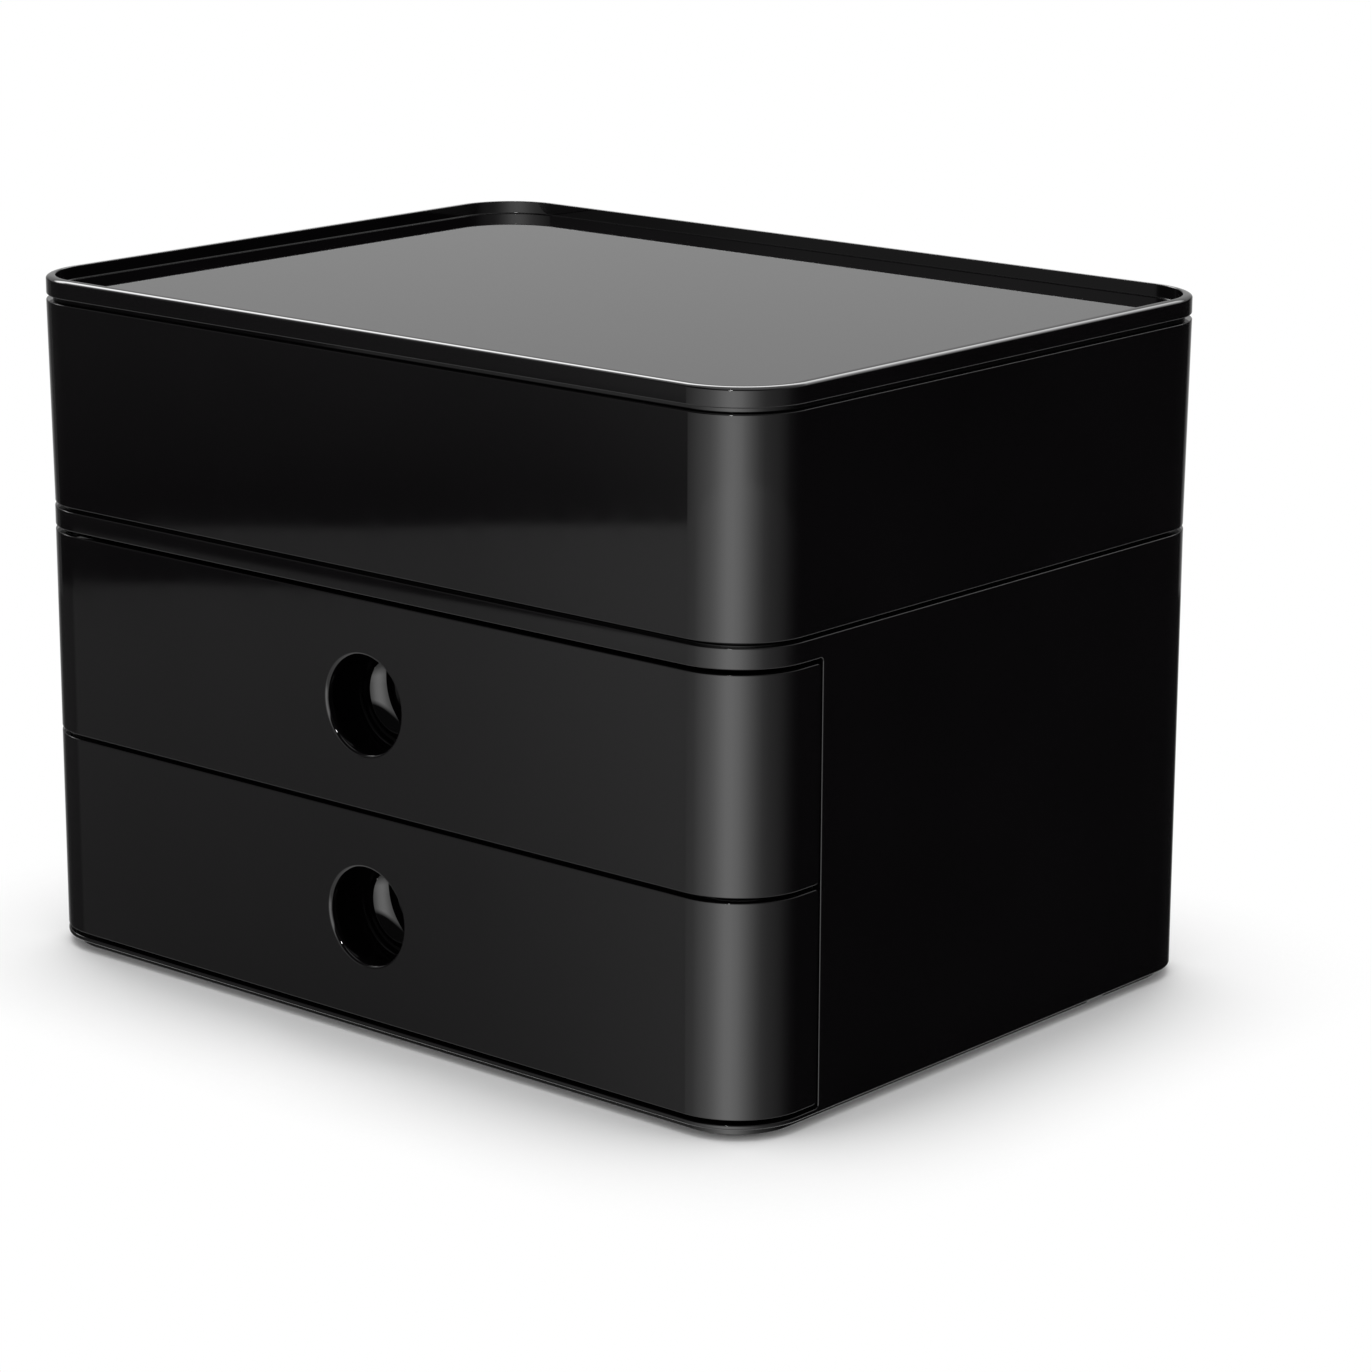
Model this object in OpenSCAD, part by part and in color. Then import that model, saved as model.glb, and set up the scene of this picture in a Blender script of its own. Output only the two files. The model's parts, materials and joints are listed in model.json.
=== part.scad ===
// Desk box with two drawers and a lidded utensil box on top.
// +Z is up, +X is to the right seen from the front, and the drawers open towards -Y.
// The origin is the bottom centre, on the surface that the feet stand on.

/* [Overall] */
// Width of the housing, left to right
body_w = 260; // [220:1:330]
// Depth of the housing, front to rear
body_d = 195; // [170:1:280]
// Radius of the upright corners
corner_r = 20; // [17:0.5:26]

/* [Housing] */
// Thickness of the housing walls
wall_t = 2.6; // [2:0.1:3]
// Thickness of the floor, the deck and the shelf
plate_t = 2; // [1.6:0.1:2.6]
// Height of the front opening that the two drawers share
opening_h = 116; // [110:1:150]
// How far the opening reaches back along each side
opening_side_d = 28; // [25:0.5:40]
// Radius of the opening's corners, seen from the side
opening_corner_r = 1; // [0.5:0.1:2]
// Height of the bar over the drawers
bar_h = 5.4; // [5:0.1:9]
// Thickness of the lip under the drawers
lip_h = 1.2; // [1:0.1:1.8]

/* [Stacking foot] */
// Height of the inset plinth under the housing and under the utensil box
plinth_h = 2.5; // [2:0.1:4]
// Width of the plinth's ring
plinth_w = 2.6; // [1.8:0.1:4]
// Width of the raised edge round the stacking recess in the deck
recess_edge_w = 3; // [2.6:0.1:4]
// Depth of the stacking recess in the deck
recess_depth = 1.4; // [0.8:0.1:1.5]
// Length of the notch in each side of the plinth
notch_l = 7.6; // [4:0.2:12]
// Height of that notch
notch_h = 1.3; // [0.6:0.1:1.6]
// Distance from the centre of the notch to the rear of the housing
notch_from_rear = 43.8; // [30:0.2:60]
// How far the rubber feet stand out below the plinth
foot_stand = 0.4; // [0.2:0.1:1]
// Radius of a rubber foot
foot_r = 8; // [5:0.5:11]
// Distance from a foot's centre to the sides of the housing
foot_inset = 25; // [20:0.5:40]

/* [Drawers] */
// Gap round the drawer fronts
front_gap = 1.25; // [0.8:0.05:1.8]
// Gap between the drawer fronts' wings and the side walls
wing_gap = 1; // [0.6:0.1:1.6]
// Thickness of the drawer fronts
front_t = 2; // [1.6:0.1:2.6]
// Radius of the finger holes
finger_hole_r = 14; // [11:0.5:16]
// Chamfer round the finger holes
finger_hole_chamfer = 0.6; // [0.3:0.1:0.9]
// Wall thickness of the trays
tray_t = 1.8; // [1.4:0.1:2.4]
// How far the trays' sides end below the top of the fronts
tray_side_drop = 10; // [9:0.5:16]
// Gap between the trays' sides and the housing walls
tray_side_gap = 2.4; // [2.2:0.1:3.2]
// Gap between the trays and the rear wall
tray_rear_gap = 3; // [1:0.5:8]
// How much of a tray stays in the housing when it is pulled all the way out
tray_hold = 39.4; // [36:0.2:80]
// Width of the catch on the rear wall of a tray, and of the stop that it meets
catch_w = 24; // [16:1:40]

/* [Finger cup] */
// How much wider than the hole the cup is, for the fingertip to hook behind
cup_undercut = 4; // [2:0.5:5]
// Depth of the cup behind the drawer front
cup_depth = 20; // [14:0.5:24]
// Wall thickness of the cup
cup_t = 1.5; // [1:0.1:2]
// Radius of the round edge at the bottom of the cup
cup_round_r = 9; // [4:0.5:12]
// Width of the flange round the mouth of the cup
cup_flange_w = 1.3; // [0.8:0.1:2]

/* [Utensil box] */
// Height of the utensil box's walls
box_wall_h = 56; // [50:0.2:90]
// How far the walls at their foot stand back from the housing's sides
box_foot_inset = 0.1; // [0:0.05:0.4]
// How far the walls at their top stand out from the housing's sides
box_top_flare = 0.4; // [0:0.05:0.6]
// Distance from the housing's outline to the inside of the box's walls
box_wall_t = 2.2; // [1.8:0.1:2.8]
// Thickness of the dividers
divider_t = 1.8; // [1.4:0.1:2.6]
// How far the dividers end below the top of the box
divider_drop = 9.6; // [7:0.2:25]
// Distance from the centre of the box to the long divider, towards the rear
long_divider_y = 22; // [-40:1:40]
// Distance from the centre of the box to the cross dividers, to the left and to the right
cross_divider_x = 46; // [20:1:90]

/* [Lid] */
// Height of the lid's outer edge
lid_edge_h = 5.1; // [4.6:0.1:8]
// Depth of the tray in the lid's top
lid_tray_depth = 3.6; // [2.5:0.1:3.8]
// Width of the lid's raised edge
lid_edge_w = 2.6; // [2:0.1:4]
// How far the lid stands out from the housing's sides
lid_overhang = 0.5; // [0.1:0.1:1]
// Height of the shadow gap between the lid and the box
lid_gap = 1.5; // [1:0.1:2]
// Length of the skirt that holds the lid in place
lid_skirt_h = 5; // [3:0.5:6]
// Wall thickness of that skirt
lid_skirt_t = 1.6; // [1.2:0.1:2.2]

/* [Fits] */
// Gap between a drawer and the ribs that it runs on
run_gap = 0.3; // [0.2:0.05:0.5]
// Gap between pieces that are pushed or laid into each other
fit_gap = 0.3; // [0.2:0.05:0.4]

/* [Hidden] */

$fn = 96;
gloss_black = "#1d1b1d";
rubber_black = "#101010";

// Solids that belong together overlap by eps; cutters reach past what they cut by over
eps = 0.01;
over = 1;
half_w = body_w / 2;
half_d = body_d / 2;

// Heights of the housing
plinth_inset = recess_edge_w + fit_gap;
plinth_top_z = foot_stand + plinth_h;
floor_top_z = plinth_top_z + lip_h;
floor_under_z = floor_top_z - plate_t;
opening_top_z = floor_top_z + opening_h;
housing_top_z = opening_top_z + bar_h;
recess_z = housing_top_z - recess_depth;
deck_under_z = recess_z - plate_t;
foot_edge = 0.6;

// The two drawers are alike and stand one pitch apart
front_h = (opening_h - 3 * front_gap) / 2;
drawer_pitch = front_h + front_gap;
lower_drawer_z = floor_top_z + front_gap;
upper_drawer_z = lower_drawer_z + drawer_pitch;
shelf_top_z = lower_drawer_z + front_h;
shelf_under_z = shelf_top_z - plate_t;
shelf_clear = 1;

// Outlines of the drawers
opening_edge_y = -half_d + opening_side_d;
wing_end_y = opening_edge_y - wing_gap;
tray_half_w = half_w - wall_t - tray_side_gap;
tray_front_y = -half_d + front_t;
tray_rear_y = half_d - wall_t - tray_rear_gap;
tray_corner_r = corner_r - (half_w - tray_half_w);
tray_side_h = front_h - tray_side_drop;
tray_top_h = front_h - plate_t - shelf_clear;

// Ribs on the floor of each bay, which the trays run on
runner_inset = 35;
runner_w = 2;
runner_h = front_gap - run_gap;
runner_end_gap = 8;

// Ribs on the side walls: guides beside the trays, and ledges under the shelf
guide_h = 3;
guide_gap = 0.4;
guide_depth = tray_side_gap - guide_gap;
ledge_h = 2.5;
ledge_depth = tray_side_gap + 0.6;
rib_front_y = opening_edge_y + 4;
rib_rear_y = half_d - corner_r - 2;

// Finger hole and the cup behind it
hole_up = front_h / 2;
cup_r = finger_hole_r + cup_undercut;
cup_outer_r = cup_r + cup_t;
cup_flange_r = cup_outer_r + cup_flange_w;

// The catch on a tray's rear wall meets the hook of a stop when the drawer is all the way out
catch_overlap = 5;
stop_y = -half_d + tray_hold - tray_t - fit_gap;
stop_hook_h = tray_top_h - catch_overlap;
stop_hook_t = 3;
stop_pad_t = 2;
stop_pad_l = 14;
stop_web_t = 2;

// Rear panel: a plate in a rebate, with a plug that fills the window
rear_frame_side = 26;
rear_frame_end = 12;
rebate_w = 4;
rebate_depth = wall_t / 2;
rear_window_w = body_w - 2 * rear_frame_side;
rear_window_h = housing_top_z - plinth_top_z - 2 * rear_frame_end;
rear_window_mid_z = (housing_top_z + plinth_top_z) / 2;

// Heights of the utensil box and of the lid
box_foot_z = recess_z + plinth_h;
box_floor_z = box_foot_z + lip_h;
box_top_z = box_foot_z + box_wall_h;
divider_h = box_top_z - divider_drop - box_floor_z;
holder_t = 1.4;
holder_depth = 2.5;
holder_h = divider_h - 4;
seat_inset = 1.2;
lid_under_z = box_top_z + lid_gap;
lid_top_z = lid_under_z + lid_edge_h;
lid_tray_z = lid_top_z - lid_tray_depth;
lid_plate_z = lid_tray_z - plate_t;

// ---- outlines and simple solids ----

module rounded_rect(w, d, r) {
    square([w - 2 * r, d], center = true);
    square([w, d - 2 * r], center = true);
    for (x = [-1, 1], y = [-1, 1])
        translate([x * (w / 2 - r), y * (d / 2 - r)])
            circle(r);
}

// The housing's outline, drawn in by inset all round
module outline(inset) {
    rounded_rect(body_w - 2 * inset, body_d - 2 * inset, corner_r - inset);
}

module slab(inset, z0, z1) {
    translate([0, 0, z0])
        linear_extrude(z1 - z0)
            outline(inset);
}

module ring(inset, width, z0, z1) {
    translate([0, 0, z0])
        linear_extrude(z1 - z0)
            difference() {
                outline(inset);
                outline(inset + width);
            }
}

// A block between two corners
module block(low, high) {
    translate(low)
        cube(high - low);
}

// The outline with straight walls that lean out from inset0 at the foot to inset1 at the top
module flared_slab(inset0, inset1, z0, z1) {
    h = z1 - z0;
    r0 = corner_r - inset0;
    r1 = corner_r - inset1;
    mid_x = half_w - corner_r;
    mid_y = half_d - corner_r;
    translate([0, 0, z0]) {
        for (x = [-1, 1], y = [-1, 1])
            translate([x * mid_x, y * mid_y, 0])
                cylinder(h = h, r1 = r0, r2 = r1);
        rotate([90, 0, 0])
            translate([0, 0, -mid_y])
                linear_extrude(2 * mid_y)
                    polygon([[-mid_x - r0, 0], [mid_x + r0, 0], [mid_x + r1, h], [-mid_x - r1, h]]);
        rotate([90, 0, 90])
            translate([0, 0, -mid_x])
                linear_extrude(2 * mid_x)
                    polygon([[-mid_y - r0, 0], [mid_y + r0, 0], [mid_y + r1, h], [-mid_y - r1, h]]);
    }
}

// Everything in front of y and between z0 and z1, with rounded rear corners in the side view
module front_part(y, z0, z1, r) {
    front_y = -half_d - over;
    rotate([90, 0, 90])
        translate([0, 0, -half_w - over])
            linear_extrude(body_w + 2 * over) {
                translate([front_y, z0])
                    square([y - r - front_y, z1 - z0]);
                translate([y - r - eps, z0 + r])
                    square([r + eps, z1 - z0 - 2 * r]);
                for (z = [z0 + r, z1 - r])
                    translate([y - r, z])
                        circle(r);
            }
}

// Inset plinth with a notch in each side; the floor plate closes it from above
module plinth(z0, floor_z) {
    difference() {
        slab(plinth_inset, z0, z0 + plinth_h);
        slab(plinth_inset + plinth_w, z0 - over, floor_z);
        for (x = [-1, 1])
            translate([x * (half_w - plinth_inset), half_d - notch_from_rear, z0])
                cube([2 * plinth_w + over, notch_l, 2 * notch_h], center = true);
    }
}

// ---- housing ----

module runners(z) {
    for (x = [-1, 1])
        translate([x * (half_w - runner_inset) - runner_w / 2, tray_front_y + runner_end_gap, z])
            cube([runner_w, tray_rear_y - tray_front_y - 2 * runner_end_gap, runner_h]);
}

// Ribs along both side walls, which stand depth into the housing
module wall_ribs(depth, z, h) {
    for (x = [-1, 1])
        translate([x * (half_w - wall_t - depth / 2), (rib_front_y + rib_rear_y) / 2, z + h / 2])
            cube([depth + eps, rib_rear_y - rib_front_y, h], center = true);
}

module housing_shell() {
    color(gloss_black) {
        difference() {
            slab(0, plinth_top_z, housing_top_z);
            slab(wall_t, floor_top_z, deck_under_z);
            slab(recess_edge_w, recess_z, housing_top_z + over);
            front_part(opening_edge_y, floor_top_z, opening_top_z, opening_corner_r);
            translate([0, half_d - wall_t / 2, rear_window_mid_z])
                cube([rear_window_w, wall_t + over, rear_window_h], center = true);
            translate([0, half_d, rear_window_mid_z])
                cube([rear_window_w + 2 * rebate_w, 2 * rebate_depth, rear_window_h + 2 * rebate_w],
                     center = true);
        }
        plinth(foot_stand, floor_under_z);
        runners(floor_top_z);
        wall_ribs(guide_depth, floor_top_z, guide_h);
        wall_ribs(guide_depth, shelf_top_z, guide_h);
        wall_ribs(ledge_depth, shelf_under_z - ledge_h, ledge_h);
    }
}

module rear_panel() {
    rebate_y = half_d - rebate_depth;
    plate_w = rear_window_w + 2 * (rebate_w - fit_gap);
    plate_h = rear_window_h + 2 * (rebate_w - fit_gap);
    plug_w = rear_window_w - 2 * fit_gap;
    plug_h = rear_window_h - 2 * fit_gap;
    plug_y = half_d - wall_t;
    color(gloss_black) {
        translate([-plate_w / 2, rebate_y, rear_window_mid_z - plate_h / 2])
            cube([plate_w, rebate_depth, plate_h]);
        translate([-plug_w / 2, plug_y, rear_window_mid_z - plug_h / 2])
            cube([plug_w, rebate_y - plug_y, plug_h]);
    }
}

// The shelf lies on the ledges; its tongue reaches forward between the lower drawer's wings
module middle_shelf() {
    tongue_gap = 0.8;
    tongue_half_w = tray_half_w - tongue_gap;
    tongue_front_y = tray_front_y + tray_t + tongue_gap;
    color(gloss_black) {
        intersection() {
            slab(wall_t + fit_gap, shelf_under_z, shelf_top_z);
            union() {
                block([-half_w, opening_edge_y + fit_gap, shelf_under_z],
                      [half_w, half_d, shelf_top_z]);
                block([-tongue_half_w, tongue_front_y, shelf_under_z],
                      [tongue_half_w, half_d, shelf_top_z]);
            }
        }
        runners(shelf_top_z);
    }
}

// A pad under the plate over a drawer, with a hook that hangs down behind it and two webs
module drawer_stop(under_z, drawer_z) {
    pad_z = under_z - stop_pad_t;
    hook_z = drawer_z + stop_hook_h;
    hook_y = stop_y - stop_hook_t;
    web = min(stop_pad_l - stop_hook_t, pad_z - hook_z) - 1;
    color(gloss_black) {
        block([-catch_w / 2, stop_y - stop_pad_l, pad_z], [catch_w / 2, stop_y, under_z]);
        block([-catch_w / 2, hook_y, hook_z], [catch_w / 2, stop_y, under_z]);
        for (x = [-catch_w / 2, catch_w / 2 - stop_web_t])
            translate([x, 0, 0])
                rotate([90, 0, 90])
                    linear_extrude(stop_web_t)
                        polygon([[hook_y - web, under_z], [stop_y, under_z], [stop_y, pad_z - web],
                                 [hook_y, pad_z - web], [hook_y - web, pad_z]]);
    }
}

module foot(x, y) {
    color(rubber_black)
        translate([x * (half_w - foot_inset), y * (half_d - foot_inset), 0]) {
            cylinder(h = foot_edge, r1 = foot_r - foot_edge, r2 = foot_r);
            translate([0, 0, foot_edge])
                cylinder(h = floor_under_z - foot_edge, r = foot_r);
        }
}

// ---- drawers ----

// A round cutter or boss along Y, on the axis of the finger hole
module on_hole_axis(drawer_z, y) {
    translate([0, y, drawer_z + hole_up])
        rotate([-90, 0, 0])
            children();
}

// The tray's front wall is as high as its catch; its sides and the rest of its rear wall are lower
module drawer_tray(z) {
    length = tray_rear_y - tray_front_y;
    mid_y = (tray_rear_y + tray_front_y) / 2;
    color(gloss_black)
        difference() {
            translate([0, mid_y, z])
                linear_extrude(tray_top_h)
                    rounded_rect(2 * tray_half_w, length, tray_corner_r);
            translate([0, mid_y, z + tray_t])
                linear_extrude(front_h)
                    rounded_rect(2 * (tray_half_w - tray_t), length - 2 * tray_t,
                                 tray_corner_r - tray_t);
            for (x = [-1, 1])
                translate([x * (half_w + catch_w) / 2, tray_front_y + tray_corner_r + half_d,
                           z + tray_side_h + half_d])
                    cube([half_w, 2 * half_d, 2 * half_d], center = true);
            on_hole_axis(z, tray_front_y - over)
                cylinder(h = tray_t + 2 * over, r = cup_flange_r + fit_gap);
        }
}

// The front wraps round both corners; its wings turn in to the tray at their ends
module drawer_front(z) {
    color(gloss_black)
        difference() {
            intersection() {
                union() {
                    ring(0, front_t, z, z + front_h);
                    for (x = [-1, 1])
                        translate([x * (tray_half_w + half_w) / 2, wing_end_y - front_t / 2,
                                   z + front_h / 2])
                            cube([half_w - tray_half_w, front_t, front_h], center = true);
                }
                slab(0, z, z + front_h);
                front_part(wing_end_y, z, z + front_h, opening_corner_r);
            }
            on_hole_axis(z, -half_d - over)
                cylinder(h = front_t + 2 * over, r = finger_hole_r);
            on_hole_axis(z, -half_d)
                cylinder(h = finger_hole_chamfer, r1 = finger_hole_r + finger_hole_chamfer,
                         r2 = finger_hole_r);
        }
}

// Half of a cup's outline, from its mouth at 0 up to its rounded bottom
module cup_outline(r, h, round_r) {
    square([r - round_r, h]);
    square([r, h - round_r]);
    translate([r - round_r, h - round_r])
        intersection() {
            circle(round_r);
            square(round_r);
        }
}

module finger_cup(z) {
    color(gloss_black)
        on_hole_axis(z, tray_front_y)
            rotate_extrude()
                difference() {
                    union() {
                        cup_outline(cup_outer_r, cup_depth + cup_t, cup_round_r + cup_t);
                        square([cup_flange_r, tray_t]);
                    }
                    translate([0, -eps])
                        cup_outline(cup_r, cup_depth + eps, cup_round_r);
                }
}

// ---- utensil box and lid ----

// Two ribs on a wall, which hold one end of a divider; they stand towards +X from the origin
module divider_holder() {
    for (side = [-1, 1])
        translate([-eps, side * (divider_t / 2 + fit_gap + holder_t / 2) - holder_t / 2, 0])
            cube([holder_depth + eps, holder_t, holder_h]);
}

module utensil_box() {
    inner_half_w = half_w - box_wall_t;
    inner_half_d = half_d - box_wall_t;
    color(gloss_black) {
        difference() {
            flared_slab(box_foot_inset, -box_top_flare, box_foot_z, box_top_z);
            slab(box_wall_t, box_floor_z, box_top_z + over);
        }
        plinth(recess_z, box_floor_z - plate_t);
        translate([0, 0, box_floor_z]) {
            translate([-inner_half_w, long_divider_y, 0])
                divider_holder();
            translate([inner_half_w, long_divider_y, 0])
                rotate(180)
                    divider_holder();
            for (side = [-1, 1]) {
                translate([side * cross_divider_x, -inner_half_d, 0])
                    rotate(90)
                        divider_holder();
                translate([side * cross_divider_x, inner_half_d, 0])
                    rotate(-90)
                        divider_holder();
            }
        }
    }
}

// A divider that is length long along X; slots in its upper or lower half let others cross it
module divider(length, slots_at, slot_from_top) {
    slot_w = divider_t + 2 * fit_gap;
    slot_z = slot_from_top ? divider_h / 2 - fit_gap : -over;
    color(gloss_black)
        difference() {
            block([-length / 2, -divider_t / 2, 0], [length / 2, divider_t / 2, divider_h]);
            for (x = slots_at)
                translate([x - slot_w / 2, -divider_t, slot_z])
                    cube([slot_w, 2 * divider_t, divider_h / 2 + fit_gap + over]);
        }
}

module long_divider() {
    translate([0, long_divider_y, box_floor_z])
        divider(body_w - 2 * (box_wall_t + fit_gap), [-cross_divider_x, cross_divider_x], true);
}

module cross_divider(x) {
    translate([x, 0, box_floor_z])
        rotate(90)
            divider(body_d - 2 * (box_wall_t + fit_gap), [long_divider_y], false);
}

// The edge stands over the box's walls; the seat ring under the plate carries the lid
module lid() {
    skirt_inset = box_wall_t + fit_gap;
    color(gloss_black) {
        ring(-lid_overhang, lid_edge_w, lid_under_z, lid_top_z);
        slab(seat_inset, lid_plate_z, lid_tray_z);
        ring(seat_inset, box_wall_t - seat_inset, box_top_z, lid_tray_z);
        ring(skirt_inset, lid_skirt_t, box_top_z - lid_skirt_h, lid_tray_z);
    }
}

housing_shell();
rear_panel();
middle_shelf();
drawer_stop(deck_under_z, upper_drawer_z);  // upper_drawer_stop
drawer_stop(shelf_under_z, lower_drawer_z);  // lower_drawer_stop
foot(-1, -1);  // foot_front_left
foot(1, -1);  // foot_front_right
foot(-1, 1);  // foot_rear_left
foot(1, 1);  // foot_rear_right
drawer_tray(upper_drawer_z);  // upper_drawer_tray
drawer_front(upper_drawer_z);  // upper_drawer_front
finger_cup(upper_drawer_z);  // upper_finger_cup
drawer_tray(lower_drawer_z);  // lower_drawer_tray
drawer_front(lower_drawer_z);  // lower_drawer_front
finger_cup(lower_drawer_z);  // lower_finger_cup
utensil_box();
long_divider();
cross_divider(-cross_divider_x);  // left_cross_divider
cross_divider(cross_divider_x);  // right_cross_divider
lid();
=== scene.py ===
"""Looks for the desk box: two drawers in a glossy housing, and a lidded utensil box on top.

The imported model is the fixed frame. Every piece that shows is modelled here on the place of its
node, with soft moulded edges, and the pieces deep inside keep their nodes and get a finish.
"""

from __future__ import annotations

import json
import logging
import math
from dataclasses import dataclass, field
from enum import Enum
from typing import Callable, Sequence

import bpy
from mathutils import Matrix, Vector

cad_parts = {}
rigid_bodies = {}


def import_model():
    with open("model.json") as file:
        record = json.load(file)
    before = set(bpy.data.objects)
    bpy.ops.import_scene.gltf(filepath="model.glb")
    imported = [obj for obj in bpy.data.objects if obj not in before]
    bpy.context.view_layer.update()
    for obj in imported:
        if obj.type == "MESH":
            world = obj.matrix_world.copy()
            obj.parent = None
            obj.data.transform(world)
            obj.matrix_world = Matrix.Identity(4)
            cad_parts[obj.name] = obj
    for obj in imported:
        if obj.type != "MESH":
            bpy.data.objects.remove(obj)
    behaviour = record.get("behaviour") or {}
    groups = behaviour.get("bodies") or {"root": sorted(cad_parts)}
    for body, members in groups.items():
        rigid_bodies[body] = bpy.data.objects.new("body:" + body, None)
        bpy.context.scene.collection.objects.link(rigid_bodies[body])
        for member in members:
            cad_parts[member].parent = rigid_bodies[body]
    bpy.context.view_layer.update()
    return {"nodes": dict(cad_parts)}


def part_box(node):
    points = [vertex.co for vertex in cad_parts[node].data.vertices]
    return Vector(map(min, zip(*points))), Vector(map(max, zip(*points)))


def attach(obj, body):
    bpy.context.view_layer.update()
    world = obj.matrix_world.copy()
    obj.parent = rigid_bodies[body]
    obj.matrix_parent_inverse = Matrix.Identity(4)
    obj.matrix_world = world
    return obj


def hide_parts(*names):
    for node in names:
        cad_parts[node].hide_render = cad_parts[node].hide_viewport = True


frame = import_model()

LOG = logging.getLogger("desk_box")
MM = 0.001
NEAR = 1e-6

Point = Sequence[float]
Stops = tuple[tuple[float, float], ...]
Span = tuple[float, float]
Value = bpy.types.NodeSocket | float | Point


# ---- the bench: meshes shaped as by hand ----


class Carve(Enum):
    """How a tool changes a work piece."""

    CUT = "DIFFERENCE"
    ADD = "UNION"
    KEEP = "INTERSECT"


class Pick(Enum):
    """What is selected for the next operator in edit mode."""

    EDGES = "EDGE"
    FACES = "FACE"


def clear_selection() -> None:
    """Leaves edit mode and deselects every object."""
    if bpy.context.mode != "OBJECT":
        bpy.ops.object.mode_set(mode="OBJECT")
    bpy.ops.object.select_all(action="DESELECT")


class WorkPiece:
    """A mesh on the bench, which starts as a primitive and is shaped step by step."""

    def __init__(self, obj: bpy.types.Object, name: str) -> None:
        """Takes over a mesh object.

        Args:
            obj: The object that has just been added.
            name: The piece's name.
        """
        self.obj = obj
        obj.name = name
        obj.data.name = name

    @classmethod
    def block(cls, name: str, low: Point, high: Point) -> "WorkPiece":
        """Adds a block between two corners.

        Args:
            name: The piece's name.
            low: The lowest corner, in metres.
            high: The highest corner, in metres.

        Returns:
            The new work piece.
        """
        clear_selection()
        size = [h - l for l, h in zip(low, high)]
        middle = [(l + h) / 2 for l, h in zip(low, high)]
        bpy.ops.mesh.primitive_cube_add(size=1, location=middle)
        bpy.context.object.scale = size
        return cls(bpy.context.object, name).settle()

    @classmethod
    def rod(cls, name: str, start: Point, radius: float, length: float, sides: int = 128) -> "WorkPiece":
        """Adds a round rod that runs from start towards +Y.

        Args:
            name: The piece's name.
            start: The centre of the rod's front end.
            radius: The rod's radius.
            length: The rod's length.
            sides: How many sides its outline has.

        Returns:
            The new work piece.
        """
        clear_selection()
        middle = (start[0], start[1] + length / 2, start[2])
        bpy.ops.mesh.primitive_cylinder_add(
            vertices=sides, radius=radius, depth=length, location=middle, rotation=(math.pi / 2, 0, 0)
        )
        return cls(bpy.context.object, name).settle()

    @classmethod
    def lathe(cls, name: str, origin: Point, axis: Point, profile: Sequence[tuple[float, float]],
              steps: int = 96) -> "WorkPiece":
        """Draws a profile point by point and spins it round an axis.

        Args:
            name: The piece's name.
            origin: The point on the axis that the profile starts from.
            axis: The direction of the axis, which is Y or Z.
            profile: Pairs of radius and distance along the axis, from axis to axis.
            steps: How many steps the spin takes.

        Returns:
            The new work piece, closed and with its faces outwards.
        """
        clear_selection()
        base, along = Vector(origin), Vector(axis)
        points = [base + Vector((r, 0, 0)) + along * a for r, a in profile]
        bpy.ops.mesh.primitive_plane_add(size=0.01, location=points[0])
        piece = cls(bpy.context.object, name).settle()
        bpy.ops.object.mode_set(mode="EDIT")
        bpy.ops.mesh.select_mode(type="VERT")
        bpy.ops.mesh.select_all(action="SELECT")
        bpy.ops.mesh.merge(type="CENTER")
        for here, there in zip(points, points[1:]):
            bpy.ops.mesh.extrude_region_move(TRANSFORM_OT_translate={"value": there - here})
        bpy.ops.mesh.select_all(action="SELECT")
        bpy.ops.mesh.spin(steps=steps, angle=2 * math.pi, center=base, axis=along)
        bpy.ops.mesh.select_all(action="SELECT")
        bpy.ops.mesh.remove_doubles(threshold=2e-6)
        bpy.ops.mesh.normals_make_consistent(inside=False)
        bpy.ops.object.mode_set(mode="OBJECT")
        return piece

    def settle(self) -> "WorkPiece":
        """Puts the object at the origin, unturned and unscaled, with its place in its mesh."""
        clear_selection()
        self.activate()
        bpy.ops.object.transform_apply(location=True, rotation=True, scale=True)
        return self

    def activate(self) -> None:
        """Makes the piece the active object and the only selected one."""
        clear_selection()
        self.obj.select_set(True)
        bpy.context.view_layer.objects.active = self.obj

    def _select(self, pick: Pick, chosen: set[int]) -> "WorkPiece":
        """Selects the chosen edges or faces and nothing else, and goes into edit mode.

        Args:
            pick: Whether edges or faces are selected.
            chosen: The places of those to select.

        Returns:
            The piece itself.
        """
        mesh = self.obj.data
        for group in (mesh.vertices, mesh.edges, mesh.polygons):
            group.foreach_set("select", [False] * len(group))
        items = mesh.edges if pick is Pick.EDGES else mesh.polygons
        for index in chosen:
            items[index].select = True
        bpy.context.tool_settings.mesh_select_mode = (False, pick is Pick.EDGES, pick is Pick.FACES)
        bpy.ops.object.mode_set(mode="EDIT")
        return self

    def faces(self, test: Callable[[Vector, Vector], bool]) -> "WorkPiece":
        """Selects faces and goes into edit mode.

        Args:
            test: Takes a face's centre and normal, and says whether it is selected.

        Returns:
            The piece itself.
        """
        self.activate()
        chosen = {f.index for f in self.obj.data.polygons if test(f.center, f.normal)}
        return self._select(Pick.FACES, chosen)

    def edges(self, test: Callable[[Vector, Vector], bool]) -> "WorkPiece":
        """Selects edges and goes into edit mode.

        Args:
            test: Takes an edge's two ends, and says whether it is selected.

        Returns:
            The piece itself.
        """
        self.activate()
        mesh = self.obj.data
        place = [v.co for v in mesh.vertices]
        chosen = {e.index for e in mesh.edges if test(place[e.vertices[0]], place[e.vertices[1]])}
        return self._select(Pick.EDGES, chosen)

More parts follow.
